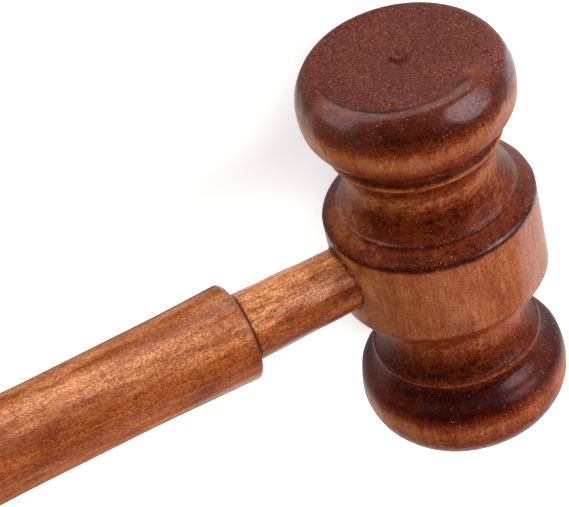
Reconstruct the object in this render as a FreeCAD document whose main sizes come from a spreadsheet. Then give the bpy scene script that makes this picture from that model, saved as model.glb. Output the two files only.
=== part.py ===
import FreeCAD, Part
import Sketcher
import math
import os

# A turned wooden gavel lying on its side: the head rests on its middle band, the handle on its butt.
# Every piece is drawn in one frame: origin at the head's centre, Y along the head's axis,
# X out along the handle, Z up. The whole is then tipped about Y until the butt meets the floor.
# Lengths are millimetres, angles degrees.

doc = FreeCAD.newDocument("Gavel")

sizes = doc.addObject("Spreadsheet::Sheet", "Sizes")

HEAD = {
    "headLength": 90.0,          # between the two striking faces
    "stockRadius": 21.75,        # of the blank: the band and both buns reach it
    "bandHalf": 9.05,            # half the straight wall of the middle band
    "bandRound": 0.95,           # its rounded edge
    "shoulderAngle": 32.0,       # slope of the annulus above that edge
    "ridgeRadius": 18.36,        # thin ridge at the foot of the cove
    "ridgeHeight": 12.6,
    "ridgeRound": 0.3,
    "throatRadius": 15.4,        # narrowest place of the cove
    "beadRadius": 17.73,         # small ring between cove and bun
    "beadRound": 0.75,
    "beadProud": 0.68,           # how far it stands out
    "bunHeight": 37.2,           # where the bun is widest
    "bunRound": 16.0,            # its side below the widest place
    "cheekHeight": 33.4,         # where that side turns into the tighter cheek
    "cheekRound": 3.6,
    "cheekAngle": 63.0,          # how far the cheek turns before the hollow takes over
    "faceRadius": 16.8,          # flat striking face
    "faceRound": 3.0,            # round beside the face
    "centreRadius": 1.6,         # mark left by the lathe's centre
    "centreDepth": 0.6,
}

HANDLE = {
    "tenonRadius": 6.72,         # slim end, let into the head
    "tenonReach": 10.0,          # how far it goes past the head's axis
    "tenonChamfer": 0.8,
    "glueFilm": 0.2,             # cured glue round both tenons
    "glueFloor": 0.6,            # and under their ends
    "glueProud": 0.55,           # squeezed out round the mouth of the head's bore
    "shoulderReach": 45.0,       # from the head's axis to the grip's end
    "neckRadius": 7.22,          # of the neck where it meets the grip
    "pegRadius": 5.0,            # hidden tenon in the grip
    "pegLength": 34.0,
    "gripEndRadius": 10.38,
    "gripEndRound": 1.3,
    "waistReach": 38.0,          # from the grip's end to its waist
    "waistRadius": 9.77,
    "swellRadius": 12.4,         # thickest place, towards the butt
    "swellRound": 420.0,         # long curve of the swell
    "handleLength": 228.0,       # from the head's axis to the butt
}

CUTS = {
    "overrun": 5.0,              # how far a cut runs past the wood
}

# What follows from those sizes, one line per step.
WORKED = [
    # rounded edge of the band and the annulus above it
    ("bandEdgeRadius", "=stockRadius - bandRound * (1 - sin(shoulderAngle))"),
    ("bandEdgeHeight", "=bandHalf + bandRound * cos(shoulderAngle)"),
    ("ridgeFoot", "=bandEdgeHeight + (bandEdgeRadius - ridgeRadius) * tan(shoulderAngle)"),
    # side of the bun, then the cheek that is tangent to it inside
    ("bunLean", "=asin((bunHeight - cheekHeight) / bunRound)"),
    ("cheekTop", "=stockRadius - bunRound * (1 - cos(bunLean))"),
    ("cheekX", "=cheekTop - cheekRound * cos(bunLean)"),
    ("cheekY", "=cheekHeight + cheekRound * sin(bunLean)"),
    ("cheekEndRadius", "=cheekX + cheekRound * cos(cheekAngle)"),
    ("cheekEndHeight", "=cheekY - cheekRound * sin(cheekAngle)"),
    # hollow between cheek and bead, tangent to the cheek and ending upright
    ("beadBase", "=beadRadius - beadProud"),
    ("hollowRound", "=(cheekEndRadius - beadBase) / (1 - cos(cheekAngle))"),
    ("beadUpper", "=cheekEndHeight - hollowRound * sin(cheekAngle)"),
    ("beadHalf", "=sqrt(beadRound ^ 2 - (beadRound - beadProud) ^ 2)"),
    ("beadLower", "=beadUpper - 2 * beadHalf"),
    # cove: an arc through ridge, throat and bead
    ("coveChord", "=sqrt((ridgeRadius - ridgeRound - beadBase) ^ 2 + (beadLower - ridgeHeight) ^ 2)"),
    ("coveDepth", "=(ridgeRadius - ridgeRound + beadBase) / 2 - throatRadius"),
    ("coveRound", "=(coveChord ^ 2 / 4 + coveDepth ^ 2) / (2 * coveDepth)"),
    # outer side of the bun: a wide arc, then the round beside the face, tangent to each other
    ("faceHeight", "=headLength / 2"),
    ("sideInset", "=stockRadius - faceRadius"),
    ("sideRise", "=faceHeight - faceRound - bunHeight"),
    ("sideRound", "=(sideInset ^ 2 + sideRise ^ 2 - faceRound ^ 2) / (2 * (sideInset - faceRound))"),
    ("sideShare", "=sideRound / (sideRound - faceRound)"),
    ("sideEndRadius", "=stockRadius - sideRound + (sideRound - sideInset) * sideShare"),
    ("sideEndHeight", "=bunHeight + sideRise * sideShare"),
    # joints of the handle
    ("neckTaper", "=(neckRadius - tenonRadius) / (shoulderReach - stockRadius)"),
    ("collarRadius", "=tenonRadius + glueProud * neckTaper"),
    ("boreRadius", "=tenonRadius + glueFilm"),
    ("boreDepth", "=tenonReach + glueFloor"),
    ("socketRadius", "=pegRadius + glueFilm"),
    ("pegEnd", "=shoulderReach + pegLength"),
    ("socketEnd", "=pegEnd + glueFloor"),
    # grip: waist arc, swell arc and butt, each tangent to the next
    ("waistPlace", "=shoulderReach + waistReach"),
    ("waistStart", "=shoulderReach + gripEndRound"),
    ("waistRise", "=gripEndRadius - waistRadius"),
    ("waistRound", "=((waistPlace - waistStart) ^ 2 + waistRise ^ 2) / (2 * waistRise)"),
    ("swellRise", "=swellRadius - waistRadius"),
    ("curveSum", "=waistRound + swellRound"),
    ("swellReach", "=sqrt(swellRise * (2 * curveSum - swellRise))"),
    ("swellPlace", "=waistPlace + swellReach"),
    ("turnShare", "=waistRound / curveSum"),
    ("turnPlace", "=waistPlace + swellReach * turnShare"),
    ("turnRadius", "=waistRadius + waistRound - (curveSum - swellRise) * turnShare"),
    ("swellSink", "=swellRound - swellRadius"),
    ("buttReach", "=handleLength - swellPlace"),
    ("buttRound", "=(swellRound ^ 2 - buttReach ^ 2 - swellSink ^ 2) / (2 * (swellRound - buttReach))"),
    ("buttShare", "=buttRound / (swellRound - buttRound)"),
    ("buttRadius", "=swellSink * buttShare"),
    ("buttPlace", "=handleLength - buttRound + (buttReach - buttRound) * buttShare"),
    # the line that touches both the band and the swell gives the tip, and the box its middle
    ("swellSpan", "=sqrt(swellPlace ^ 2 + swellSink ^ 2)"),
    ("tip", "=atan(swellSink / swellPlace) - asin((swellRound - stockRadius) / swellSpan)"),
    ("buttOut", "=(handleLength - buttRound) * cos(tip) + buttRound"),
    ("headPlace", "=(stockRadius - buttOut) / 2"),
]

row = 1
for title, group in (("Head", HEAD), ("Handle", HANDLE), ("Cuts", CUTS)):
    sizes.set(f"A{row}", title)
    row += 1
    for name, value in group.items():
        sizes.set(f"A{row}", name)
        sizes.set(f"B{row}", str(value))
        sizes.setAlias(f"B{row}", name)
        row += 1
doc.recompute()

sizes.set(f"A{row}", "Worked out")
row += 1
for name, formula in WORKED:
    sizes.set(f"A{row}", name)
    sizes.set(f"B{row}", formula)
    sizes.setAlias(f"B{row}", name)
    row += 1
doc.recompute()


def size(name):
    """The number that a cell of the sheet holds."""
    value = sizes.get(name)
    return value.Value if hasattr(value, "Value") else float(value)


def make_body(name):
    """A piece with its own label, tipped with the whole gavel."""
    body = doc.addObject("PartDesign::Body", name)
    body.Label = name
    body.Placement.Rotation = FreeCAD.Rotation(FreeCAD.Vector(0, 1, 0), size("tip"))
    body.setExpression("Placement.Base.x", "Sizes.headPlace")
    body.setExpression("Placement.Base.z", "Sizes.stockRadius")
    body.setExpression("Placement.Rotation.Angle", "Sizes.tip")
    return body


def origin_part(body, role):
    """One of the body's own origin planes or axes."""
    for feature in body.Origin.OriginFeatures:
        if feature.Role == role:
            return feature
    raise ValueError(role)


def make_sketch(body, name, role):
    sketch = body.newObject("Sketcher::SketchObject", name)
    sketch.AttachmentSupport = [(origin_part(body, role), "")]
    sketch.MapMode = "FlatFace"
    return sketch


def bind(sketch, constraint, name, expression):
    """Add a constraint and tie its value to an expression over the sheet."""
    index = sketch.addConstraint(constraint)
    sketch.renameConstraint(index, name)
    sketch.setExpression(f"Constraints.{name}", expression)


def evaluate(sketch, expression):
    value = sketch.evalExpression(expression)
    return value.Value if hasattr(value, "Value") else float(value)


def draw_outline(sketch, corners):
    """A closed outline through corners (x, y, bend).

    x and y are expressions, or 0 on an axis. bend describes the edge that leaves the corner:
    None for a line, or (expression of the radius, turn), turn being 1 for an arc that bends
    to the left of the way from corner to corner and -1 for one that bends to the right.
    """
    points = []
    for x, y, bend in corners:
        points.append(FreeCAD.Vector(evaluate(sketch, str(x)), evaluate(sketch, str(y)), 0))
    count = len(corners)
    starts = []
    ends = []
    for index, (x, y, bend) in enumerate(corners):
        a = points[index]
        b = points[(index + 1) % count]
        if bend is None:
            edge = sketch.addGeometry(Part.LineSegment(a, b), False)
            starts.append((edge, 1))
            ends.append((edge, 2))
            continue
        radius = evaluate(sketch, bend[0])
        turn = bend[1]
        chord = b - a
        across = FreeCAD.Vector(-chord.y, chord.x, 0) * (turn / chord.Length)
        centre = (a + b) * 0.5 + across * math.sqrt(max(radius ** 2 - chord.Length ** 2 / 4, 0))
        first, last = (a, b) if turn > 0 else (b, a)
        angles = [math.atan2(p.y - centre.y, p.x - centre.x) for p in (first, last)]
        circle = Part.Circle(centre, FreeCAD.Vector(0, 0, 1), radius)
        edge = sketch.addGeometry(Part.ArcOfCircle(circle, angles[0], angles[1]), False)
        starts.append((edge, 1 if turn > 0 else 2))
        ends.append((edge, 2 if turn > 0 else 1))
    for index in range(count):
        nxt = starts[(index + 1) % count]
        sketch.addConstraint(Sketcher.Constraint("Coincident", *ends[index], *nxt))
    for index, (x, y, bend) in enumerate(corners):
        corner = starts[index]
        if x == 0 and y == 0:
            sketch.addConstraint(Sketcher.Constraint("Coincident", *corner, -1, 1))
        elif x == 0:
            sketch.addConstraint(Sketcher.Constraint("PointOnObject", *corner, -2))
        elif y == 0:
            sketch.addConstraint(Sketcher.Constraint("PointOnObject", *corner, -1))
        if x != 0:
            across = Sketcher.Constraint("DistanceX", -1, 1, *corner, points[index].x)
            bind(sketch, across, f"across{index}", x)
        if y != 0:
            along = Sketcher.Constraint("DistanceY", -1, 1, *corner, points[index].y)
            bind(sketch, along, f"along{index}", y)
        if bend is not None:
            radius = Sketcher.Constraint("Radius", corner[0], evaluate(sketch, bend[0]))
            bind(sketch, radius, f"bend{index}", bend[0])


def turn_solid(body, sketch, name, axis, groove=False):
    """Revolve an outline all the way round one of its sketch axes."""
    doc.recompute()
    kind = "PartDesign::Groove" if groove else "PartDesign::Revolution"
    feature = body.newObject(kind, name)
    feature.Profile = sketch
    feature.ReferenceAxis = (sketch, [axis])
    feature.Angle = 360.0
    doc.recompute()
    return feature


def of(name):
    return f"Sizes.{name}"


def make_head():
    """The turned head: half of its outline, mirrored, then bored across for the handle."""
    body = make_body("head")
    outline = make_sketch(body, "HeadOutline", "XY_Plane")
    draw_outline(outline, [
        (0, 0, None),
        (of("stockRadius"), 0, None),
        (of("stockRadius"), of("bandHalf"), (of("bandRound"), 1)),
        (of("bandEdgeRadius"), of("bandEdgeHeight"), None),
        (of("ridgeRadius"), of("ridgeFoot"), None),
        (of("ridgeRadius"), "Sizes.ridgeHeight - Sizes.ridgeRound", (of("ridgeRound"), 1)),
        ("Sizes.ridgeRadius - Sizes.ridgeRound", of("ridgeHeight"), (of("coveRound"), -1)),
        (of("beadBase"), of("beadLower"), (of("beadRound"), 1)),
        (of("beadBase"), of("beadUpper"), (of("hollowRound"), -1)),
        (of("cheekEndRadius"), of("cheekEndHeight"), (of("cheekRound"), 1)),
        (of("cheekTop"), of("cheekHeight"), (of("bunRound"), 1)),
        (of("stockRadius"), of("bunHeight"), (of("sideRound"), 1)),
        (of("sideEndRadius"), of("sideEndHeight"), (of("faceRound"), 1)),
        (of("faceRadius"), of("faceHeight"), None),
        (of("centreRadius"), of("faceHeight"), None),
        (0, "Sizes.faceHeight - Sizes.centreDepth", None),
    ])
    half = turn_solid(body, outline, "HalfHead", "V_Axis")
    mirror = body.newObject("PartDesign::Mirrored", "WholeHead")
    mirror.Originals = [half]
    mirror.MirrorPlane = (origin_part(body, "XZ_Plane"), [""])
    body.Tip = mirror
    doc.recompute()
    whole = body.Shape.Volume

    bore = make_sketch(body, "BoreOutline", "XY_Plane")
    draw_outline(bore, [
        ("-Sizes.boreDepth", 0, None),
        ("Sizes.stockRadius + Sizes.overrun", 0, None),
        ("Sizes.stockRadius + Sizes.overrun", of("boreRadius"), None),
        ("-Sizes.boreDepth", of("boreRadius"), None),
    ])
    turn_solid(body, bore, "HandleBore", "H_Axis", groove=True)
    check_cut(body, whole)
    return body


def check_cut(body, before):
    """A cut that removes nothing is a fault."""
    if body.Shape.Volume >= before:
        raise RuntimeError(f"{body.Label}: a cut removed nothing")


def make_neck():
    """The slim rod between head and grip, with a tenon at each end."""
    body = make_body("neck")
    outline = make_sketch(body, "NeckOutline", "XY_Plane")
    draw_outline(outline, [
        ("-Sizes.tenonReach", 0, None),
        (of("pegEnd"), 0, None),
        (of("pegEnd"), "Sizes.pegRadius - Sizes.tenonChamfer", None),
        ("Sizes.pegEnd - Sizes.tenonChamfer", of("pegRadius"), None),
        (of("shoulderReach"), of("pegRadius"), None),
        (of("shoulderReach"), of("neckRadius"), None),
        ("Sizes.stockRadius", of("tenonRadius"), None),
        ("Sizes.tenonChamfer - Sizes.tenonReach", of("tenonRadius"), None),
        ("-Sizes.tenonReach", "Sizes.tenonRadius - Sizes.tenonChamfer", None),
    ])
    turn_solid(body, outline, "NeckRod", "H_Axis")
    return body


def make_grip():
    """The thick hand grip: bored for the peg, waisted, swelling towards a rounded butt."""
    body = make_body("grip")
    outline = make_sketch(body, "GripOutline", "XY_Plane")
    draw_outline(outline, [
        (of("handleLength"), 0, (of("buttRound"), 1)),
        (of("buttPlace"), of("buttRadius"), (of("swellRound"), 1)),
        (of("turnPlace"), of("turnRadius"), (of("waistRound"), -1)),
        (of("waistStart"), of("gripEndRadius"), (of("gripEndRound"), 1)),
        (of("shoulderReach"), "Sizes.gripEndRadius - Sizes.gripEndRound", None),
        (of("shoulderReach"), of("socketRadius"), None),
        (of("socketEnd"), of("socketRadius"), None),
        (of("socketEnd"), 0, None),
    ])
    turn_solid(body, outline, "GripWood", "H_Axis")
    return body


def make_head_glue():
    """Cured glue between neck and head, with the little collar squeezed out of the bore."""
    body = make_body("head_joint_glue")
    collar = make_sketch(body, "CollarOutline", "XY_Plane")
    draw_outline(collar, [
        ("Sizes.stockRadius - Sizes.overrun", of("tenonRadius"), None),
        (of("stockRadius"), of("tenonRadius"), None),
        ("Sizes.stockRadius + Sizes.glueProud", of("collarRadius"), None),
        (of("stockRadius"), "Sizes.boreRadius + Sizes.glueProud", None),
        ("Sizes.stockRadius - Sizes.overrun", "Sizes.boreRadius + Sizes.glueProud", None),
    ])
    turn_solid(body, collar, "Collar", "H_Axis")
    ring = body.Shape.Volume

    # the collar sits on the round wall of the band
    wall = make_sketch(body, "BandOutline", "XY_Plane")
    draw_outline(wall, [
        (0, "-Sizes.boreRadius - Sizes.overrun", None),
        (of("stockRadius"), "-Sizes.boreRadius - Sizes.overrun", None),
        (of("stockRadius"), "Sizes.boreRadius + Sizes.overrun", None),
        (0, "Sizes.boreRadius + Sizes.overrun", None),
    ])
    turn_solid(body, wall, "BandWall", "V_Axis", groove=True)
    check_cut(body, ring)

    film = make_sketch(body, "FilmOutline", "XY_Plane")
    draw_outline(film, [
        ("-Sizes.boreDepth", 0, None),
        ("-Sizes.tenonReach", 0, None),
        ("-Sizes.tenonReach", "Sizes.tenonRadius - Sizes.tenonChamfer", None),
        ("Sizes.tenonChamfer - Sizes.tenonReach", of("tenonRadius"), None),
        (of("stockRadius"), of("tenonRadius"), None),
        (of("stockRadius"), of("boreRadius"), None),
        ("-Sizes.boreDepth", of("boreRadius"), None),
    ])
    turn_solid(body, film, "Film", "H_Axis")
    return body


def make_grip_glue():
    """Cured glue round the hidden peg and under its end."""
    body = make_body("grip_joint_glue")
    film = make_sketch(body, "FilmOutline", "XY_Plane")
    draw_outline(film, [
        (of("socketEnd"), 0, None),
        (of("socketEnd"), of("socketRadius"), None),
        (of("shoulderReach"), of("socketRadius"), None),
        (of("shoulderReach"), of("pegRadius"), None),
        ("Sizes.pegEnd - Sizes.tenonChamfer", of("pegRadius"), None),
        (of("pegEnd"), "Sizes.pegRadius - Sizes.tenonChamfer", None),
        (of("pegEnd"), 0, None),
    ])
    turn_solid(body, film, "Film", "H_Axis")
    return body


def check_state():
    """Stop before anything is written if a feature failed or a piece is not sound."""
    for feature in doc.Objects:
        if "Invalid" in feature.State or "Error" in feature.State:
            raise RuntimeError(f"{feature.Label}: {feature.State}")
    for piece in PIECES:
        shape = piece.Shape
        if shape.isNull() or not shape.isValid() or len(shape.Solids) != 1:
            raise RuntimeError(f"{piece.Label}: not one sound solid")


PIECES = [make_head(), make_neck(), make_grip(), make_head_glue(), make_grip_glue()]
doc.recompute()
check_state()

os.makedirs("parts", exist_ok=True)
for piece in PIECES:
    piece.Shape.exportStep(f"parts/{piece.Label}.step")
    box = piece.Shape.optimalBoundingBox(False)
    print(f"{piece.Label:16s} {piece.Shape.Volume:10.1f} mm3  x {box.XMin:8.2f} {box.XMax:8.2f}"
          f"  y {box.YMin:7.2f} {box.YMax:7.2f}  z {box.ZMin:6.2f} {box.ZMax:6.2f}")
print(f"tip {size('tip'):.3f} degrees, head centre at x {size('headPlace'):.3f}")
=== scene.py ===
from math import asin, atan, atan2, copysign, cos, hypot, pi, radians, sin, sqrt, tan

import bpy
import numpy as np
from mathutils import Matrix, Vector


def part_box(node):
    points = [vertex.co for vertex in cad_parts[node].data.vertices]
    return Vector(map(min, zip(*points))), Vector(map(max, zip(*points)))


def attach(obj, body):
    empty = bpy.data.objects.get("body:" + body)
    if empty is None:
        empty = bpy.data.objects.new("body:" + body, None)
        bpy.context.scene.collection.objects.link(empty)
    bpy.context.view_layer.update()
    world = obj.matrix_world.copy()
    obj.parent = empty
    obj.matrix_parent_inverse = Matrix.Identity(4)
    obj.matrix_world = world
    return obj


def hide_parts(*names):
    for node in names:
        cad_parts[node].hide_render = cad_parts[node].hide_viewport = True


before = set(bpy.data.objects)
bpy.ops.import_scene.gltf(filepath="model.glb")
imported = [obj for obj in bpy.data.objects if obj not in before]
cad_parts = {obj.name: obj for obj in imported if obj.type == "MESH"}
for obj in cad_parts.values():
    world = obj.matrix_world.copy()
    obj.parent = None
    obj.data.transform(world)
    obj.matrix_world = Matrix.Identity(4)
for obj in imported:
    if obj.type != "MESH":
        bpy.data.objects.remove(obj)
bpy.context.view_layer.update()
print("frame loaded:", ", ".join(sorted(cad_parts)))

# Shapes are worked out in millimetres on the handle's own axes: x along the handle from the head's centre,
# y along the head, z up. layDown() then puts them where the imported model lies.


def arcBetween(start, end, radius, count):
    # Circular arc, hollow where the radius is negative. Its centre stands off the middle of the chord, at
    # the distance that gives the radius.
    start, end = np.array(start, float), np.array(end, float)
    chord = end - start
    length = np.hypot(*chord)
    across = np.array([-chord[1], chord[0]]) / length
    centre = (start + end) / 2 + across * copysign(sqrt(max(radius ** 2 - length ** 2 / 4, 0)), radius)
    first = atan2(*(start - centre)[::-1])
    last = atan2(*(end - centre)[::-1])
    sweep = (last - first + pi) % (2 * pi) - pi
    angle = first + sweep * np.linspace(0, 1, count)
    return centre + abs(radius) * np.stack([np.cos(angle), np.sin(angle)], 1)


def straight(start, end, count):
    # Evenly spaced points of a straight line.
    share = np.linspace(0, 1, count)[:, None]
    return np.array(start, float) * (1 - share) + np.array(end, float) * share


def traced(start, *steps):
    # An outline from its start through steps: end, number of points and, for an arc, the radius. Points that
    # two steps share are kept once.
    runs = []
    for end, count, *radius in steps:
        runs.append(arcBetween(start, end, *radius, count) if radius else straight(start, end, count))
        start = end
    line = np.vstack(runs)
    keep = np.r_[True, np.hypot(*np.diff(line, axis=0).T) > 1e-6]
    return line[keep]


def waves(points, size, seed, count=14):
    # Soft unevenness: the sum of plane waves in seeded directions, each about one size long,
    # scaled to a spread of one.
    chance = np.random.default_rng(seed)
    heading = chance.normal(size=(count, 3))
    heading /= np.linalg.norm(heading, axis=1, keepdims=True)
    pace = 2 * pi / (np.array(size) * np.ones(3)) * heading * chance.uniform(0.6, 1.5, (count, 1))
    phase = chance.uniform(0, 2 * pi, count)
    return np.sin(points @ pace.T + phase).sum(-1) * sqrt(2 / count)


def bell(distance, width):
    # Bump of height one: e to the power of minus the square of distance over width.
    return np.exp(-(distance / width) ** 2)


def angleBell(angle, middle, width):
    # A bell over an angle, its middle and width in degrees, measured the short way round.
    return bell((np.degrees(angle) - middle + 180) % 360 - 180, width)


def ramp(value, low, high):
    # Smooth step from 0 at low to 1 at high: 3 t squared minus 2 t cubed.
    share = np.clip((value - low) / (high - low), 0, 1)
    return share * share * (3 - 2 * share)


def within(value, start, full, fading, end):
    # One ramp up and one down: 0 up to start, 1 from full to fading, 0 again from end on.
    return ramp(value, start, full) * ramp(end - value, 0, end - fading)


def keyed(value, keys):
    # Straight lines between given keys.
    return np.interp(value, list(keys), list(keys.values()))


def patches(angle, place, rows):
    # Soft patches added up. A row is strength, middle and width of its angle, and its stretch of the piece:
    # nothing for all of it, middle and width of a bell, or the four places of within().
    total = 0
    for strength, middle, width, *stretch in rows:
        share = 1
        if len(stretch) == 2:
            share = bell(place - stretch[0], stretch[1])
        elif stretch:
            share = within(place, *stretch)
        total = total + strength * angleBell(angle, middle, width) * share
    return total


def placed(name, data):
    # A new object of the scene, for a mesh, a lamp or a camera.
    made = bpy.data.objects.new(name, data)
    bpy.context.scene.collection.objects.link(made)
    return made


# Stretches of the head, as within() takes them: the cove, and all that lies past the start of the rim
inCove = 9.5, 11, 24, 27
onRim = 41, 43, 50, 51

gripPlan = {
    "shoulderReach": 45.0,  # head's centre to the grip's shoulder
    "endRadius": 10.38,
    "endRound": 1.3,
    "waistReach": 38.0,  # shoulder to the waist
    "waistRadius": 9.77,
    "swellRadius": 12.4,
    "swellRound": 420.0,
    "handleLength": 228.0,  # head's centre to the butt
    "socketRadius": 5.2,
    "socketDepth": 34.6,
    "columns": 224,
    "handWork": 0.05,  # unevenness left by the sanding
    # Paler and darker streaks by the angle round the grip, in rows for patches()
    "streaks": (
        (0.58, 143, 12), (0.14, 151, 6), (0.26, 177, 9), (0.5, 203, 20), (0.14, 161, 7, 70, 95, 300, 301),
        (0.4, 124, 10, -2, -1, 56, 66), (-0.44, 84, 22), (-0.26, 103, 10, 50, 70, 300, 301),
        (-0.42, 48, 20), (0.16, 80, 16, -2, -1, 50, 62), (0.2, -60, 25), (-0.2, -120, 22),
    ),
    "lacquer": ((0.5, 207, 28), (0.42, 157, 18), (-0.2, 110, 22)),
}
headPlan = {
    "length": 90.0,
    "stockRadius": 21.75,
    "bandHalf": 9.05,
    "bandRound": 0.95,
    "shoulderAngle": 32.0,
    "ridgeRadius": 18.36,
    "ridgeHeight": 12.6,
    "ridgeRound": 0.3,
    "throatRadius": 15.4,
    "beadRadius": 17.73,
    "beadRound": 0.75,
    "beadProud": 0.68,
    "bunHeight": 37.2,
    "bunRound": 16.0,
    "cheekHeight": 33.4,
    "cheekRound": 3.6,
    "cheekAngle": 63.0,
    "faceRadius": 16.8,
    "faceRound": 3.0,
    "columns": 256,
    "crownRows": 8,  # rows from a face's rim to the edge of its sanded flat
    "flatRows": 19,
    "centreRows": 26,  # finer rows over the lathe's mark
    "centreRadius": 3.2,
    "latheWave": 0.012,  # faint rings left by the tool
    "handWork": 0.045,
    "flatInset": 0.35,  # how far inside the rim the sanded flat ends
    "flatDrawn": {-1: (0.5, 112, 42), 1: (0.9, -60, 50)},  # how much further in, at which angle, how wide
    "flatWaver": 0.09,
    "dish": 0.07,
    "tornDepth": 0.22,  # the torn mark of the lathe's centre: its pit and its lump
    "tornLump": 0.48,
    "tornMost": 0.45,
    # Stain by the distance from the head's middle, on the near half and the far one: 0 is pale, 1 is dark
    # On the near half, the keys from 9 to 9.7 hold painted shade: the dark line on the band's rounded edge
    "nearStain": {
        0: 0.2, 7.8: 0.2, 8.5: 0.35, 9: 0.85, 9.7: 1.05, 10.2: 0.62, 11.2: 0.55, 11.8: 0.61,
        12.3: 0.85, 12.8: 0.62, 13.4: 0.52, 14.5: 0.64, 16.5: 0.8, 18.5: 0.5, 20.5: 0.25, 22: 0.5,
        23.5: 0.78, 24.6: 0.95, 25.3: 0.46, 26: 0.24, 26.7: 0.18, 27.3: 0.7, 28.5: 0.94, 30: 0.72,
        32: 0.54, 33.5: 0.42, 35: 0.15, 36.5: 0.12, 37.5: 0.32, 38.5: 0.52, 39.5: 0.7, 41: 0.72,
        43: 0.52, 45: 0.4,
    },
    "farStain": {
        0: 0.17, 8: 0.17, 8.8: 0.12, 9.4: 0.54, 10.5: 0.56, 12: 0.55, 12.7: 0.4, 13.4: 0.62,
        15: 0.52, 18: 0.36, 20: 0.48, 22: 0.84, 24: 0.92, 25: 0.9, 25.8: 0.72, 26.4: 0.42,
        27.3: 0.92, 28.5: 0.93, 29.5: 0.84, 31: 0.7, 33.5: 0.8, 35: 0.4, 36.5: 0.2, 38.5: 0.34,
        40: 0.52, 42: 0.7, 45: 0.6,
    },
    "lacquer": {
        0: 0.34, 8: 0.34, 9: 0.4, 10: 0.3, 10.6: 0.1, 12: 0.08, 12.2: 0.1, 12.5: 0.8,
        12.75: 0.6, 13.1: 0.1, 15: 0.06, 17: 0.03, 24: 0.03, 26: 0.22, 28: 0.12, 31: 0.24,
        33: 0.14, 36: 0.34, 40: 0.75, 42: 1, 45: 1,
    },
    # Painted light: paler patches at the left side and under the highlights, darker where a row is negative,
    # in rows for patches()
    "nearPaintedLight": (
        (0.42, -4, 28, 9.5, 11, 50, 51), (0.26, -20, 30, *inCove), (0.14, 118, 24, *inCove),
        (0.24, 90, 17, 40.8, 42.3, 50, 51), (0.18, 22, 20, 9.2, 9.6, 12.4, 13),
        (0.06, 95, 12, 9.2, 9.6, 12.4, 13), (0.1, 96, 10, 12.4, 0.8), (0.36, 127, 17, 15.9, 2),
        (-0.08, 45, 25, 23.3, 1.5), (0.15, 122, 14, 23, 2), (0.2, 3, 14, 27, 1.8),
        (0.18, 122, 15, 27, 1.8), (-0.14, 32, 10, 33.5, 2), (0.15, 126, 12, 41, 1.2),
        (0.08, 25, 25, -2, -1, 8.7, 9.3),
    ),
    "farPaintedLight": (
        (0.4, 0, 26, 27, 29, 50, 51), (0.24, 98, 14, 31, 1.6), (0.2, 112, 24, *inCove),
        (-0.13, 70, 20, 4, 7, 10, 10.8), (-0.2, 72, 22, 15.5, 3.2), (0.25, -8, 20, 23.6, 2),
        (0.12, 84, 10, 23.6, 2), (0.14, 130, 20, 24, 2.5), (0.5, -18, 22, 26.3, 0.8),
        (0.4, 126, 16, 29.8, 1.9), (-0.15, 12, 25, 36, 39, 50, 51), (-0.12, 112, 16, 33.5, 35, 50, 51),
        (0.08, 25, 25, -2, -1, 8.7, 9.3),
    ),
    # Where the lacquer is thinner than its keys say, or thicker, on both halves and on the near one
    "thinner": ((0.55, 118, 24, 25, 28, 36, 39),),
    "thicker": (
        (2.2, 101, 12, 9.8, 0.6), (0.35, 28, 13, *onRim), (-0.5, 4, 10, *onRim), (-0.25, 66, 17, *onRim),
        (0.1, 100, 9, *onRim), (-0.75, 122, 9, *onRim),
    ),
}
mostProud = 0.02  # how far unevenness may stand out of the CAD's skin


def gripCurves(plan):
    # Waist, swell and butt as three arcs that share a tangent where they meet. The waist's is hollow.
    waistPlace = plan["shoulderReach"] + plan["waistReach"]
    waistStart = plan["shoulderReach"] + plan["endRound"]
    rise = plan["endRadius"] - plan["waistRadius"]
    waistRound = ((waistPlace - waistStart) ** 2 + rise ** 2) / (2 * rise)
    swellRise = plan["swellRadius"] - plan["waistRadius"]
    both = waistRound + plan["swellRound"]
    reach = sqrt(swellRise * (2 * both - swellRise))
    swellPlace = waistPlace + reach
    share = waistRound / both
    turnPlace = waistPlace + reach * share
    turnRadius = plan["waistRadius"] + waistRound - (both - swellRise) * share
    swellSink = plan["swellRound"] - plan["swellRadius"]
    buttReach = plan["handleLength"] - swellPlace
    swell = plan["swellRound"]
    buttRound = (swell ** 2 - buttReach ** 2 - swellSink ** 2) / (2 * (swell - buttReach))
    buttShare = buttRound / (swell - buttRound)
    buttPlace = plan["handleLength"] - buttRound + (buttReach - buttRound) * buttShare
    return {
        "waistStart": (plan["endRadius"], waistStart), "waistRound": waistRound,
        "turn": (turnRadius, turnPlace), "swellPlace": swellPlace, "swellSink": swellSink,
        "butt": (swellSink * buttShare, buttPlace), "buttRound": buttRound,
    }


# The handle's tip: it lies with its swell and the head's band on the desk.
curves = gripCurves(gripPlan)
span = hypot(curves["swellPlace"], curves["swellSink"])
tip = atan(curves["swellSink"] / curves["swellPlace"])
tip = tip - asin((gripPlan["swellRound"] - headPlan["stockRadius"]) / span)
headLow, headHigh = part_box("head")
headCentre = (np.array(headLow) + np.array(headHigh)) / 2


def layDown(points):
    # Turn about y by the handle's tip, millimetres to metres, then move to the head's centre.
    turn = np.array([[cos(tip), 0, sin(tip)], [0, 1, 0], [-sin(tip), 0, cos(tip)]])
    return points @ turn.T * 0.001 + headCentre


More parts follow.
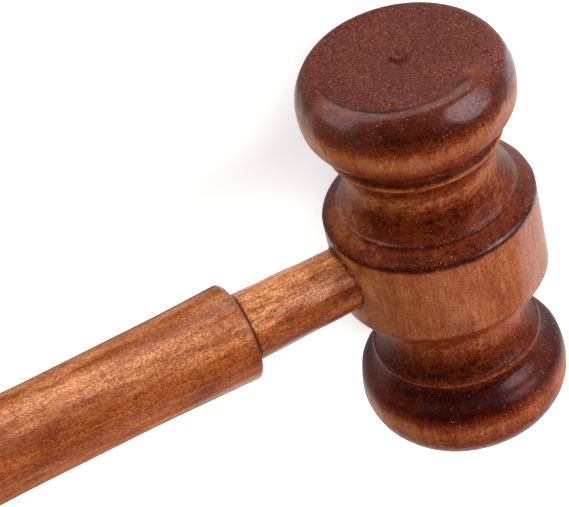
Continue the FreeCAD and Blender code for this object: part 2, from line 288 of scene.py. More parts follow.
def closedSkin(name, rings, startPoint, endPoint, marks):
    # Closed mesh from rings of points (row, column, xyz): columns run round and join, and a fan closes each
    # end on one point. Where the volume comes out negative, the faces are turned round.
    rows, columns = rings.shape[:2]
    points = layDown(np.concatenate([rings.reshape(-1, 3), [startPoint, endPoint]]))
    row, column = np.meshgrid(np.arange(rows - 1), np.arange(columns), indexing="ij")
    here = (row * columns + column).ravel()
    beside = (row * columns + (column + 1) % columns).ravel()
    quads = np.stack([here, beside, beside + columns, here + columns], 1)
    rim = np.arange(columns)
    after = (rim + 1) % columns
    last = (rows - 1) * columns
    startFan = np.stack([after, rim, np.full(columns, rows * columns)], 1)
    endFan = np.stack([last + rim, last + after, np.full(columns, rows * columns + 1)], 1)
    one, two, three, four = (points[quads[:, corner]] for corner in range(4))
    if (one * (np.cross(two, three) + np.cross(three, four))).sum() < 0:
        quads, startFan, endFan = quads[:, ::-1], startFan[:, ::-1], endFan[:, ::-1]
    mesh = bpy.data.meshes.new(name)
    mesh.from_pydata(points.tolist(), [], quads.tolist() + startFan.tolist() + endFan.tolist())
    mesh.polygons.foreach_set("use_smooth", np.ones(len(mesh.polygons), bool))
    for mark, values in marks.items():
        layer = mesh.attributes.new(mark, "FLOAT", "POINT")
        values = np.r_[values.ravel(), values[0].mean(), values[-1].mean()]
        layer.data.foreach_set("value", values.astype(np.float32))
    mesh.update()
    return placed(name, mesh)


# Head
def halfOutline(plan):
    # Radius and height of the head from its middle to the rim of its face, by the CAD's lines and arcs.
    lean = radians(plan["shoulderAngle"])
    stock, band = plan["stockRadius"], plan["bandHalf"]
    edge = (stock - plan["bandRound"] * (1 - sin(lean)), band + plan["bandRound"] * cos(lean))
    ridge, crest, soft = plan["ridgeRadius"], plan["ridgeHeight"], plan["ridgeRound"]
    foot = (ridge, edge[1] + (edge[0] - ridge) * tan(lean))
    bun, bunRound = plan["bunHeight"], plan["bunRound"]
    cheek, cheekRound = plan["cheekHeight"], plan["cheekRound"]
    bunLean = asin((bun - cheek) / bunRound)
    cheekTop = stock - bunRound * (1 - cos(bunLean))
    cheekX = cheekTop - cheekRound * cos(bunLean)
    cheekY = cheek + cheekRound * sin(bunLean)
    cheekAngle = radians(plan["cheekAngle"])
    cheekEnd = (cheekX + cheekRound * cos(cheekAngle), cheekY - cheekRound * sin(cheekAngle))
    beadBase = plan["beadRadius"] - plan["beadProud"]
    hollowRound = (cheekEnd[0] - beadBase) / (1 - cos(cheekAngle))
    beadUpper = cheekEnd[1] - hollowRound * sin(cheekAngle)
    beadHalf = sqrt(plan["beadRound"] ** 2 - (plan["beadRound"] - plan["beadProud"]) ** 2)
    beadLower = beadUpper - 2 * beadHalf
    coveChord = hypot(ridge - soft - beadBase, beadLower - crest)
    coveDepth = (ridge - soft + beadBase) / 2 - plan["throatRadius"]
    coveRound = (coveChord ** 2 / 4 + coveDepth ** 2) / (2 * coveDepth)
    top, faceRound = plan["length"] / 2, plan["faceRound"]
    inset = stock - plan["faceRadius"]
    rise = top - faceRound - bun
    sideRound = (inset ** 2 + rise ** 2 - faceRound ** 2) / (2 * (inset - faceRound))
    share = sideRound / (sideRound - faceRound)
    sideEnd = (stock - sideRound + (sideRound - inset) * share, bun + rise * share)
    return traced(
        (stock, 0),
        ((stock, band), 15),
        (edge, 6, plan["bandRound"]),
        (foot, 8),
        ((ridge, crest - soft), 3),
        ((ridge - soft, crest), 4, soft),
        ((beadBase, beadLower), 30, -coveRound),
        ((beadBase, beadUpper), 9, plan["beadRound"]),
        (cheekEnd, 10, -hollowRound),
        ((cheekTop, cheek), 9, cheekRound),
        ((stock, bun), 9, bunRound),
        (sideEnd, 15, sideRound),
        ((plan["faceRadius"], top), 9, faceRound),
    )


def faceEdge(plan, angle, side):
    # Where the sanded flat ends: the face's radius, drawn in where the sanding ran out, with a fine waver.
    waver = waves(np.stack([np.cos(angle), np.sin(angle), 0 * angle], -1) * 17, 3.0, 30 + side)
    depth, middle, width = plan["flatDrawn"][side]
    drawn = plan["flatInset"] + depth * angleBell(angle, middle, width)
    return plan["faceRadius"] - drawn + waver * plan["flatWaver"]


def faceRings(plan, edge):
    # Radii of one face's rows, from its rim over the edge of the sanded flat to the middle.
    rim, centre = plan["faceRadius"], plan["centreRadius"]
    crown = rim + (edge - rim) * np.linspace(0, 1, plan["crownRows"] + 1)[1:, None]
    flat = centre + (edge - centre) * np.linspace(1, 0, plan["flatRows"] + 1)[1:, None]
    middle = np.linspace(centre, 0.08, plan["centreRows"] + 1)[1:, None] + 0 * edge
    return np.vstack([crown, flat, middle])


def tornCentre(plan, u, w, seed):
    # The lathe's mark: its share of broken lump, its share of shallow pit, and the height that both give.
    reach = np.hypot(u, w)
    flat = np.stack([u, w, 0 * u], -1)
    fibre = waves(flat, 1.3, seed) * 0.6 + waves(flat, 0.6, seed + 5) * 0.4
    along, across = u * 0.86 - w * 0.5, w * 0.86 + u * 0.5
    lump = ramp(1.15 - np.hypot(along / 1.45, across / 0.85) + 0.2 * fibre, 0, 0.45)
    pit = bell(reach - 1.1, 0.75) * (1 - lump)
    rise = lump * plan["tornLump"] * (1 + 0.3 * fibre) - pit * plan["tornDepth"]
    return lump, pit, rise + bell(reach, 2.8) * fibre * 0.05


def makeHead(plan):
    # The outline spun about y, with faint tool rings and soft unevenness. A face's rows follow the edge of
    # its sanded flat.
    side = halfOutline(plan)
    top, rim = plan["length"] / 2, plan["faceRadius"]
    angle = np.linspace(0, 2 * pi, plan["columns"], endpoint=False)[None, :]
    nearEdge, farEdge = faceEdge(plan, angle, -1), faceEdge(plan, angle, 1)
    nearRings, farRings = faceRings(plan, nearEdge), faceRings(plan, farEdge)
    radius = np.vstack([nearRings[::-1], side[:0:-1, :1] + 0 * angle, side[:, :1] + 0 * angle, farRings])
    faceRows = len(farRings)
    flatEnd = np.full(faceRows, top)
    height = np.r_[-flatEnd, -side[:0:-1, 1], side[:, 1], flatEnd][:, None] + 0 * angle
    reach = np.abs(height)
    rows = len(radius)
    row = np.arange(rows)[:, None] + 0 * angle
    onFace = (row < faceRows) | (row >= rows - faceRows)
    onFlat = (row < faceRows - plan["crownRows"]) | (row >= rows - faceRows + plan["crownRows"])
    near, far = height < 0, height >= 0
    edge = np.where(near, nearEdge, farEdge)
    u, w = radius * np.cos(angle), radius * np.sin(angle)

    # How far the skin looks along -y: 1 on the near face, 0 on the band, -1 on the far face
    outline = np.stack([radius[:, 0], height[:, 0]], 1)[faceRows:rows - faceRows]
    slope = np.gradient(outline, axis=0)
    ends = np.ones(faceRows)
    facing = np.r_[ends, slope[:, 0] / np.hypot(*slope.T), -ends][:, None] + 0 * angle

    points = np.stack([u, height, w], -1)
    tool = np.sin(height * 7.3) * 0.6 + np.sin(height * 11.9 + 1.3) * 0.4
    uneven = np.where(onFace, 0, waves(points, 13, 4) * plan["handWork"] + tool * plan["latheWave"])
    swell = 1 + np.minimum(uneven, mostProud) / np.maximum(radius, 1)
    short = (rim - plan["flatInset"] - edge) * 0.11  # the flat leaves more of the crown where it ends early
    crown = ramp(radius, edge, rim) * 0.55 + np.clip((radius - edge) / 5, 0, 1) * 0.45
    crown = np.where(onFace, crown, ramp(reach, 40.5, top))
    dish = plan["dish"] * (ramp(radius, 0, 15) - 1)
    nearTorn, farTorn = tornCentre(plan, u, w, 21), tornCentre(plan, u, w, 27)
    lump, pit, torn = [np.where(near, *pair) for pair in zip(nearTorn, farTorn)]
    sanding = waves(points * [1, 0, 1], 5.0, 31) * 0.014
    rise = np.minimum(np.where(onFlat, dish + sanding + torn, 0) - short * crown, plan["tornMost"])
    points = np.stack([u * swell, height + np.where(near, -rise, rise), w * swell], -1)

    # Marks: unevenness of the stain, painted light, painted shade and its dark lines, sanded and lacquered
    # places
    turned = (np.degrees(angle) + 180) % 360 - 180
    noise = waves(points, 5, 33)
    lacquered = np.where(near, within(turned, -4, 10, 106, 118), 1)
    matt = ramp(reach + 0.35 * noise, 40.8, 43.2) * (1 - lacquered) * (1 - 0.8 * angleBell(angle, 122, 9))
    matt = np.where(onFlat, 1, matt)
    blotch = waves(points, (3.2, 1.6, 3.2), 41) * 0.6 + waves(points, (1.5, 0.9, 1.5), 42) * 0.6
    blotches = np.where(near, 0.15, 0.09) * within(reach, 9, 11, 27, 31) + 0.06 * ramp(reach, 33, 36)
    # Painted shade: a dark line on the band's rounded top edge, on the near half only
    bandEdge = near * bell(reach - 9.15 + 0.1 * waves(points, 1.3, 45), 0.21)
    bandEdge = bandEdge * (0.7 + 0.3 * ramp(noise, -1, 1))
    # Painted shade: a dark line along the near face's rim, where the sanded flat ends
    rimLine = near * bell(radius - edge - 0.12, 0.42) * (reach > top - 0.5)
    rimLine = rimLine * within(turned, -12, 2, 112, 122) * (0.85 + 0.15 * noise)
    worn = near * (
        0.72 * angleBell(angle, 124, 6) * bell(radius - 15.7, 1.2) * (reach > 44.5)
        + 0.3 * angleBell(angle, 124, 8) * bell(radius - 18.6, 1.6) * ramp(reach, 41.5, 42.5)
        + 0.3 * angleBell(angle, 270, 20) * bell(radius - 11.5, 3)
        - 0.3 * angleBell(angle, -5, 32) * bell(radius - 14, 3.5) * onFlat
    )
    coveThin = angleBell(angle, -5, 40) * within(reach, 9, 10, 25, 27) * (1 - bell(reach - 12.6, 0.4))
    thin = 1 - patches(angle, reach, plan["thinner"]) - 0.88 * coveThin
    thin = thin + near * patches(angle, reach, plan["thicker"]) - far * 0.85 * ramp(reach, 35.2, 38)
    gloss = keyed(reach, plan["lacquer"]) * thin * (1 - far * 0.5 * bell(reach - 32, 2.5))
    gloss = gloss + far * 0.5 * angleBell(angle, 102, 12) * bell(reach - 30, 2)
    # Stain keys with the paler patches of painted light taken off
    nearStain = keyed(reach, plan["nearStain"]) - patches(angle, reach, plan["nearPaintedLight"])
    farStain = keyed(reach, plan["farStain"]) - patches(angle, reach, plan["farPaintedLight"])
    bare = bell(np.hypot(height, w) - 8.9, 1.2) * ramp(waves(points, 6, 44), -0.9, 0.9)
    marks = {
        # The stain mark carries the stain, its blotches, and the painted light and shade of the keys and
        # patches
        "stain": np.where(near, nearStain, farStain) + blotches * blotch,
        # Painted shade: a darker tone on skin that faces -y, from the band's edge on, and more past the bead
        "toner": ramp(facing, 0.02, 0.62) * (0.4 * ramp(reach, 9.6, 10.4) + 0.6 * ramp(reach, 26.6, 28.5)),
        "matt": matt,
        "gloss": gloss * (1 - matt) * (1 - 0.95 * np.clip(rimLine, 0, 1)),
        # Painted shade: the dark lines at the rim and the band's edge, and shade in the lathe's pit
        "darkLinesAndPaintedShade": np.clip(0.95 * rimLine + bandEdge + 0.42 * pit, 0, 1),
        "worn": worn,
        "bare": np.where(u > 5, bare, 0),  # paler wood round the mouth of the bore
        # Paler on the torn lump and darker in its pit; the pit's darkening is painted shade
        "torn": 1.5 * lump - 0.8 * pit,
    }
    piece = closedSkin("turnedHead", points, points[0].mean(0), points[-1].mean(0), marks)
    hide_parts("head")
    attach(piece, "root")
    return piece


head = makeHead(headPlan)
print("head made:", len(head.data.polygons), "faces")


def spun(outline, columns):
    # Rings and angles of a piece turned about x: each row's radius and place become a circle.
    angle = np.linspace(0, 2 * pi, columns, endpoint=False)
    radius, place = outline[:, 0, None], outline[:, 1, None] + 0 * angle
    return np.stack([place, radius * np.cos(angle), radius * np.sin(angle)], -1), angle[None, :]


# Neck
neckPlan = {
    "tenonReach": 10.0,
    "tenonRadius": 6.72,
    "neckRadius": 7.22,
    "pegRadius": 5.0,
    "pegLength": 34.0,
    "chamfer": 0.8,
    "columns": 200,
    "facets": 9,  # flats left by the spokeshave
    "flatAt": 142,  # the middle of one of them, degrees round from y
    "flatness": 0.6,
    "handWork": 0.03,
    # Tone by the angle round the neck: above 0 is paler
    "tones": {
        0: -0.2, 40: -0.6, 62: -1.0, 76: -0.82, 90: -0.66, 108: -0.74, 120: -0.22, 132: 0.34, 180: 0.42,
        205: 0.5, 240: 0.2, 300: 0.0, 360: -0.2,
    },
}


def makeNeck(plan, shoulder, stock):
    # Tenon, tapered rod and peg spun about x. Where the rod shows, its radius is drawn part of the way to a
    # many-sided prism's.
    end = shoulder + plan["pegLength"]
    tenon, peg, cut = plan["tenonRadius"], plan["pegRadius"], plan["chamfer"]
    outline = traced(
        (tenon - cut, -plan["tenonReach"]),
        ((tenon, cut - plan["tenonReach"]), 3),
        ((tenon, 17), 12),
        ((tenon, stock), 16),
        ((plan["neckRadius"], shoulder), 90),
        ((peg, shoulder), 5),
        ((peg, end - cut), 12),
        ((peg - cut, end), 3),
    )
    rings, angle = spun(outline, plan["columns"])
    along = outline[:, 1][:, None]
    seen = within(along, 16, 19, shoulder - 4, shoulder + 0.5)
    sector = 2 * pi / plan["facets"]
    drift = 0.05 * np.sin(along / 4.1) + 0.03 * np.sin(along / 1.9 + 1)
    inSector = (angle - radians(plan["flatAt"]) + drift + sector / 2) % sector - sector / 2
    flat = plan["flatness"] * seen * angleBell(angle, plan["flatAt"], 42)
    flat = flat * (0.5 + 0.5 * ramp(39 - along, 0, 12))
    scale = 1 - flat * (1 - cos(sector / 2) / np.cos(inSector))
    scale = scale + seen * plan["handWork"] * waves(rings, (9, 5, 5), 61) / 7.0
    rings[..., 1:] *= scale[..., None]

    # Marks: one torn fibre line along the neck, a shinier strip beside it, dark corners at both ends:
    # painted shade with dark lacquer where the neck goes into the grip, and a dark joint line at the head
    ragged = waves(rings, (1.6, 0.9, 0.9), 64) * 0.045 + waves(rings, (4, 2, 2), 65) * 0.05
    fromLine = angle - radians(97) - (along - 22.3) * 0.0306 + ragged
    fibreLine = bell(fromLine, 0.055) * within(along, 21.5, 23, 34.5, 39.5)
    strip = ramp(fromLine, 0.05, 0.14) * ramp(radians(160) - angle + ragged, 0, 0.12)
    strip = strip * ramp(38 - along, 0, 6) * seen
    around = np.degrees(angle) + 4 * waves(rings, (8, 4, 4), 68)
    streaks = keyed(around % 360, plan["tones"]) - 0.35 * ramp(31 - along, 0, 8) * ramp(around, 130, 142)
    # Painted shade, with dark lacquer, in the corner where the neck goes into the grip
    hidden = 0.75 / np.maximum(np.cos(angle - radians(131)), 0.8)
    corner = ramp(along, shoulder - hidden - 0.25, shoulder - hidden)
    wall = np.sqrt(stock ** 2 - (tenon * np.sin(angle)) ** 2)
    joint = ramp(wall + 0.75 + 0.12 * waves(rings, 1.5, 69) - along, 0, 0.35)
    fibreDark = 0.75 * fibreLine * (0.7 + 0.3 * waves(rings, 1.2, 67))
    marks = {
        "streaks": streaks - 0.25 * strip + 0.12 * waves(rings, (7, 1.5, 1.5), 66),
        "darkLinesAndPaintedShade": np.clip(fibreDark + 0.95 * corner + 0.6 * joint, 0, 1),
        "gloss": (0.22 + 0.5 * strip) * seen,
    }
    piece = closedSkin("slimNeck", rings, [-plan["tenonReach"], 0, 0], [end, 0, 0], marks)
    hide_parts("neck")
    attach(piece, "root")
    return piece


neck = makeNeck(neckPlan, gripPlan["shoulderReach"], headPlan["stockRadius"])
print("neck made:", len(neck.data.polygons), "faces")


# Grip
def makeGrip(plan, curves):
    # Socket, flat end, rounded corner, waist, swell and butt spun about x, with slow unevenness.
    shoulder, soft = plan["shoulderReach"], plan["endRound"]
    socket, bottom = plan["socketRadius"], shoulder + plan["socketDepth"]
    outline = traced(
        (0.4, bottom),
        ((socket, bottom), 4),
        ((socket, shoulder), 10),
        ((plan["endRadius"] - soft, shoulder), 7),
        (curves["waistStart"], 10, soft),
        (curves["turn"], 90, -curves["waistRound"]),
        (curves["butt"], 70, plan["swellRound"]),
        ((0.15, plan["handleLength"] - 0.0012), 26, curves["buttRound"]),
    )
    rings, angle = spun(outline, plan["columns"])
    radius = outline[:, 0][:, None]
    outside = (np.arange(len(outline)) > 20)[:, None]  # the rows past the socket and the flat end
    uneven = waves(rings, (30, 9, 9), 71) * plan["handWork"] * outside * ramp(radius, 6, 10)
    rings[..., 1:] *= (1 + np.minimum(uneven, mostProud) / np.maximum(radius, 1))[..., None]
    along = outline[:, 1][:, None] + 0 * angle
    turned = angle - 0.75 * (1 - np.exp((shoulder - along) / 80)) + 0.05 * np.sin(along / 11 + 2)
    marks = {
        "edge": (0.5 * bell(along - shoulder - 0.5, 1.2) + 0.5 * bell(along - shoulder, 6)) * outside,
        # Painted shade, with dark lacquer, on the flat end round the neck
        "darkLinesAndPaintedShade": (along < shoulder + 0.16) * ramp(10.1 - radius, 0, 0.8),
        "far": ramp(along, 130, 222),
        "gloss": (0.5 + patches(angle, along, plan["lacquer"])) * outside,
        "streaks": patches(turned, along, plan["streaks"]) + 0.12 * waves(rings, (16, 2.5, 2.5), 72),
    }
    piece = closedSkin("handGrip", rings, [bottom, 0, 0], [plan["handleLength"], 0, 0], marks)
    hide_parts("grip")
    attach(piece, "root")
    return piece


grip = makeGrip(gripPlan, curves)
print("grip made:", len(grip.data.polygons), "faces")

# Glue round the neck
gluePlan = {
    "columns": 260,
    "size": 0.25,
    "spread": 0.45,  # how much its size varies
    "depth": 8.0,
}


def makeGlueCollar(plan, neckSize, stock):
    # Squeezed-out glue: at each angle a small quarter round from the neck's skin to the band's wall, where
    # rod and cylinder cross, closed by a sleeve inside the bore.
    angle = np.linspace(0, 2 * pi, plan["columns"], endpoint=False)
    cosine, sine = np.cos(angle), np.sin(angle)
    around = np.stack([0 * angle, cosine, sine], -1)
    lumps = waves(around * 7, 2.4, 81) * 0.6 + waves(around * 7, 1.1, 82) * 0.4
    size = plan["size"] * np.clip(1 + plan["spread"] * lumps, 0.25, 2.2)
    size = size + 0.35 * bell(np.hypot(cosine + 0.97, sine + 0.2), 0.35)  # one larger drop
    inner = neckSize - 0.12
    rows = []
    for share in np.linspace(0, 1, 9):
        # Quarter round: out along the neck by cosine, out from the neck by sine
        out = size * cos(share * pi / 2) ** 1.3
        off = size * sin(share * pi / 2) ** 1.3
        radius = inner + 0.1 + off
        wall = np.sqrt(stock ** 2 - (radius * sine) ** 2)
        rows.append(np.stack([wall + out - 0.05, radius * cosine, radius * sine], -1))
    back = np.sqrt(stock ** 2 - ((inner + size) * sine) ** 2) - 0.9
    for sink, off in ((0, 0.3), (plan["depth"], 0.2), (plan["depth"], -0.2)):
        rows.append(np.stack([back - sink, (inner + off) * cosine, (inner + off) * sine], -1))
    rings = np.stack(rows)
    rings[1:9, :, 0] += waves(rings, 0.9, 83)[1:9] * 0.05
    lowest = np.array([rings[-1, :, 0].min(), 0, 0])
    tuck = rings[0] * [1, 0.96, 0.96] - [0.3, 0, 0]
    rings = np.concatenate([tuck[None], rings])
    lump = (size - plan["size"])[None, :] + 0 * rings[..., 0]
    piece = closedSkin("glueCollar", rings, tuck.mean(0), lowest, {"lump": lump})
    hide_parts("head_joint_glue")
    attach(piece, "root")
    return piece


collar = makeGlueCollar(gluePlan, neckPlan["tenonRadius"], headPlan["stockRadius"])
print("glue collar made:", len(collar.data.polygons), "faces")


# Material tools. A socket is handed about as (node, name or number).
def feed(tree, made, place, given):
    # Give an input a socket or a plain value.
    if isinstance(given, tuple) and isinstance(given[0], bpy.types.Node):
        tree.links.new(given[0].outputs[given[1]], made.inputs[place])
    else:
        made.inputs[place].default_value = given


def addNode(tree, kind, **settings):
    # A node, its kind without ShaderNode. A setting is a property, or an input's name with what it is fed.
    made = tree.nodes.new(kind if kind == "NodeGroupOutput" else "ShaderNode" + kind)
    for key, value in settings.items():
        if hasattr(made, key):
            setattr(made, key, value)
        else:
            feed(tree, made, key.replace("_", " "), value)
    return made


def newTree(block):
    # The emptied node tree of a material or a world.
    block.use_nodes = True
    block.node_tree.nodes.clear()
    return block.node_tree


def newGroup(name, inputs, outputs):
    # A node group. An input's starting value tells its kind: None is a vector, a tuple a colour. An output
    # is a number, unless it is called Color.
    group = bpy.data.node_groups.new(name, "ShaderNodeTree")
    kinds = {type(None): "Vector", float: "Float", tuple: "Color"}
    for key, start in inputs.items():
        kind = "NodeSocket" + kinds[type(start)]
        socket = group.interface.new_socket(key, in_out="INPUT", socket_type=kind)
        if start is not None:
            socket.default_value = start
    for key in outputs:
        kind = "NodeSocketColor" if key == "Color" else "NodeSocketFloat"
        group.interface.new_socket(key, in_out="OUTPUT", socket_type=kind)
    return group, group.nodes.new("NodeGroupInput")


def maths(tree, operation, first, second, clamp=False):
    # A Math node on two sockets or numbers.
    made = addNode(tree, "Math", operation=operation, use_clamp=clamp)
    feed(tree, made, 0, first)
    feed(tree, made, 1, second)
    return made, 0


def times(tree, first, second):
    return maths(tree, "MULTIPLY", first, second)


def plus(tree, first, second):
    return maths(tree, "ADD", first, second)


def mixColour(tree, share, first, second, blend="MIX"):
    # A colour mix. Share and colours are sockets or plain values.
    made = addNode(tree, "Mix", data_type="RGBA", blend_type=blend)
    feed(tree, made, 0, share)
    for place, given in ((6, first), (7, second)):
        feed(tree, made, place, (*given, 1) if len(given) == 3 else given)
    return made, 2


def remap(tree, source, low, high, newLow=0.0, newHigh=1.0, smooth=False):
    # Map a value's range onto another, clamped.
    made = addNode(tree, "MapRange", interpolation_type="SMOOTHSTEP" if smooth else "LINEAR")
    for place, given in enumerate((source, low, high, newLow, newHigh)):
        feed(tree, made, place, given)
    return made, 0


def noiseOver(tree, vector, scale, **settings):
    # A noise texture over a vector.
    return addNode(tree, "TexNoise", Vector=vector, Scale=scale, **settings), 0


def mark(tree, name):
    # A value stored on the piece's own mesh.
    return addNode(tree, "Attribute", attribute_name=name), "Fac"


def summed(tree, start, terms):
    # A number plus each term's socket times its share.
    total = start
    for source, share in terms:
        total = plus(tree, times(tree, source, share), total)
    return total


def buildGrainGroup():
    # Wood figure, from noise and cells stretched along z: streaks, pores, slow mottling, grit and fibre.
    inputs = {"Vector": None, "Across": 400.0, "Stretch": 0.05, "Pores": 2600.0, "Mottle": 60.0}
    group, given = newGroup("woodGrain", inputs, ("Streak", "Pore", "Mottle", "Fine", "Fibre"))
    split = addNode(group, "SeparateXYZ", Vector=(given, "Vector"))

    def stretched(share):
        along = times(group, times(group, (split, "Z"), (given, "Stretch")), share)
        return addNode(group, "CombineXYZ", X=(split, "X"), Y=(split, "Y"), Z=along), 0

    def poresTimes(share):
        return times(group, (given, "Pores"), share)

    streak = noiseOver(group, stretched(1), (given, "Across"), Detail=5.0, Roughness=0.62, Distortion=0.4)
    pore = noiseOver(group, stretched(1), (given, "Pores"), Detail=2.0, Roughness=0.5)
    grit = []
    for size, share in ((1.0, 0.84), (0.55, 0.16)):
        cells = addNode(group, "TexVoronoi", feature="F1", Vector=stretched(6), Scale=poresTimes(size))
        chance = addNode(group, "SeparateColor", Color=(cells, "Color"))
        grit.append(((chance, 0), share))
    fibre = noiseOver(group, stretched(1.2), poresTimes(0.45), Detail=3.0, Roughness=0.6, Distortion=0.3)
    mottle = noiseOver(group, stretched(7), (given, "Mottle"), Detail=4.0, Roughness=0.55, Distortion=0.6)
    addNode(
        group, "NodeGroupOutput", Fine=summed(group, 0.0, grit),
        Streak=remap(group, streak, 0.34, 0.66), Pore=remap(group, pore, 0.56, 0.72),
        Mottle=remap(group, mottle, 0.32, 0.68), Fibre=remap(group, fibre, 0.34, 0.66),
    )
    return group


def buildStainGroup():
    # Stain over wood: tone 0 to 1 runs from the deep colour through the middle one to the pale one.
    brown = (0.2, 0.05, 0.012, 1)
    inputs = {"Tone": 0.5, "Deep": brown, "Middle": brown, "Pale": brown}
    group, given = newGroup("woodStain", inputs, ("Color",))
    lower = mixColour(group, remap(group, (given, "Tone"), 0.0, 0.5), (given, "Deep"), (given, "Middle"))
    upper = mixColour(group, remap(group, (given, "Tone"), 0.5, 1.0), lower, (given, "Pale"))
    addNode(group, "NodeGroupOutput", Color=upper)
    return group


def buildDustGroup():
    # Specks of dust: the middles of small cells, of uneven size and strength. The amount is the share of
    # cells that keep theirs, and it is higher in patches.
    inputs = {"Vector": None, "Scale": 900.0, "Size": 0.2, "Amount": 0.5}
    group, given = newGroup("dustSpecks", inputs, ("Mask",))
    vector = given, "Vector"
    cells = addNode(group, "TexVoronoi", feature="F1", Vector=vector, Scale=(given, "Scale"))
    split = addNode(group, "SeparateColor", Color=(cells, "Color"))
    patch = noiseOver(group, vector, 130.0, Detail=1.0)
    share = times(group, (given, "Amount"), remap(group, patch, 0.4, 0.66, 0.25, 2.4))
    chosen = maths(group, "LESS_THAN", (split, 0), share)
    reach = times(group, (given, "Size"), plus(group, (split, 1), 0.35))
    speck = maths(group, "LESS_THAN", (cells, "Distance"), reach)
    strength = remap(group, (split, 2), 0.0, 1.0, 0.25, 1.0)
    kept = times(group, times(group, speck, chosen), strength)
    addNode(group, "NodeGroupOutput", Mask=kept)
    return group


def buildGlossGroup():
    # Lacquer that lies thick or thin: the level times a fine broken noise.
    inputs = {"Vector": None, "Level": 0.5, "Scale": 2300.0, "Least": 0.35}
    group, given = newGroup("brokenGloss", inputs, ("Coat",))
    grit = noiseOver(group, (given, "Vector"), (given, "Scale"), Detail=3.0, Roughness=0.65)
    rest = maths(group, "SUBTRACT", 1.0, (given, "Least"))
    whole = plus(group, times(group, remap(group, grit, 0.38, 0.55), rest), (given, "Least"))
    addNode(group, "NodeGroupOutput", Coat=maths(group, "MULTIPLY", whole, (given, "Level"), clamp=True))
    return group


grainGroup = buildGrainGroup()
stainGroup = buildStainGroup()
dustGroup = buildDustGroup()
glossGroup = buildGlossGroup()


def stainedWood(tree, place, look):
    # Grain and marks add up to a tone, which the stain group colours. Grit and fibre vary its brightness.
    axis = addNode(tree, "Mapping", Rotation=look["turn"], Vector=place), 0
    scales = {key: look[key] for key in ("Across", "Stretch", "Pores", "Mottle")}
    grain = addNode(tree, "Group", node_tree=grainGroup, Vector=axis, **scales)
    start = look["tone"] - look["streak"] / 2 - look["mottle"] / 2
    terms = [((grain, key.capitalize()), look[key]) for key in ("streak", "mottle")]
    terms += [((grain, "Pore"), -look["pore"])]
    terms += [(mark(tree, name), share) for name, share in look["marks"].items()]
    stain = addNode(tree, "Group", node_tree=stainGroup, Tone=summed(tree, start, terms))
    for key in ("Deep", "Middle", "Pale"):
        stain.inputs[key].default_value = (*look[key], 1)
    # Dark stain shows more grit and worn wood less
    reach = look["fine"]
    if "stain" in look["marks"]:
        reach = times(tree, plus(tree, mark(tree, "stain"), 0.2), reach)
    if "worn" in look["marks"]:
        kept = maths(tree, "SUBTRACT", 1.0, times(tree, mark(tree, "worn"), 0.8))
        reach = times(tree, kept, reach)
    grit = times(tree, maths(tree, "SUBTRACT", (grain, "Fine"), 0.5), reach)
    shade = summed(tree, 1 - look["fibre"] / 2, ((grit, 1.0), ((grain, "Fibre"), look["fibre"])))
    shade = maths(tree, "MAXIMUM", shade, 0.12)
    light = addNode(tree, "CombineColor")
    for channel, power in enumerate((1.0, 1.8, 2.2)):
        feed(tree, light, channel, maths(tree, "POWER", shade, power))
    return grain, mixColour(tree, 1.0, (stain, "Color"), (light, 0), "MULTIPLY")


def dusted(tree, place, look, colour):
    # Specks of dust over a colour.
    values = {key: look["dust" + key] for key in ("Scale", "Size", "Amount")}
    dust = addNode(tree, "Group", node_tree=dustGroup, Vector=place, **values), 0
    return dust, mixColour(tree, times(tree, dust, look["dustCover"]), colour, look["dustColour"])


def between(tree, share, first, second):
    # A number mixed between two sockets by a share.
    return plus(tree, first, times(tree, maths(tree, "SUBTRACT", second, first), share))


def woodMaterial(name, look, sanded=None):
    # One wood finish: stained wood under dust, grain and ripple in its surface, and a broken coat of
    # lacquer by the gloss mark. A sanded look takes over by the matt mark.
    material = bpy.data.materials.new(name)
    tree = newTree(material)
    place = addNode(tree, "TexCoord"), "Object"
    grain, colour = stainedWood(tree, place, look)
    dust, colour = dusted(tree, place, look, colour)
    peel = noiseOver(tree, place, look["peelScale"], Detail=3.0, Roughness=0.55)
    roughness = ((grain, "Mottle"), look["roughSpread"]), (dust, look["dustRough"])
    rough = summed(tree, look["rough"], roughness)
    height = summed(tree, 0.0, (
        (peel, look["peel"]), ((grain, "Streak"), look["streakLift"]), ((grain, "Pore"), -look["poreLift"]),
        ((grain, "Fine"), look["fineLift"]), (dust, look["dustLift"]),
    ))
    if sanded:
        matt = mark(tree, "matt")
        grain, rawColour = stainedWood(tree, place, sanded)
        dust, rawColour = dusted(tree, place, sanded, rawColour)
        rawRough = summed(tree, sanded["rough"], (((grain, "Mottle"), sanded["roughSpread"]),))
        rawHeight = summed(tree, 0.0, (((grain, "Fine"), sanded["fineLift"]), (dust, sanded["dustLift"])))
        colour = mixColour(tree, matt, colour, rawColour)
        rough = between(tree, matt, rough, rawRough)
        height = between(tree, matt, height, rawHeight)
    # Painted shade and dark lines: the mark mixes in a dark colour
    colour = mixColour(tree, mark(tree, "darkLinesAndPaintedShade"), colour, look["darkLinesAndPaintedShade"])
    gloss = addNode(tree, "Group", node_tree=glossGroup, Vector=place, Level=mark(tree, "gloss"))
    gloss.inputs["Least"].default_value = look["glossLeast"]
    bump = addNode(tree, "Bump", Strength=1.0, Distance=0.001, Height=height)
    surface = addNode(
        tree, "BsdfPrincipled", Base_Color=colour, Roughness=remap(tree, rough, 0.0, 1.0), Normal=(bump, 0),
        Coat_Weight=(gloss, 0), Coat_Roughness=look["coatRough"], Coat_IOR=1.6,
        Specular_IOR_Level=look["shine"], IOR=1.5,
    )
    addNode(tree, "OutputMaterial", Surface=(surface, 0))
    return material


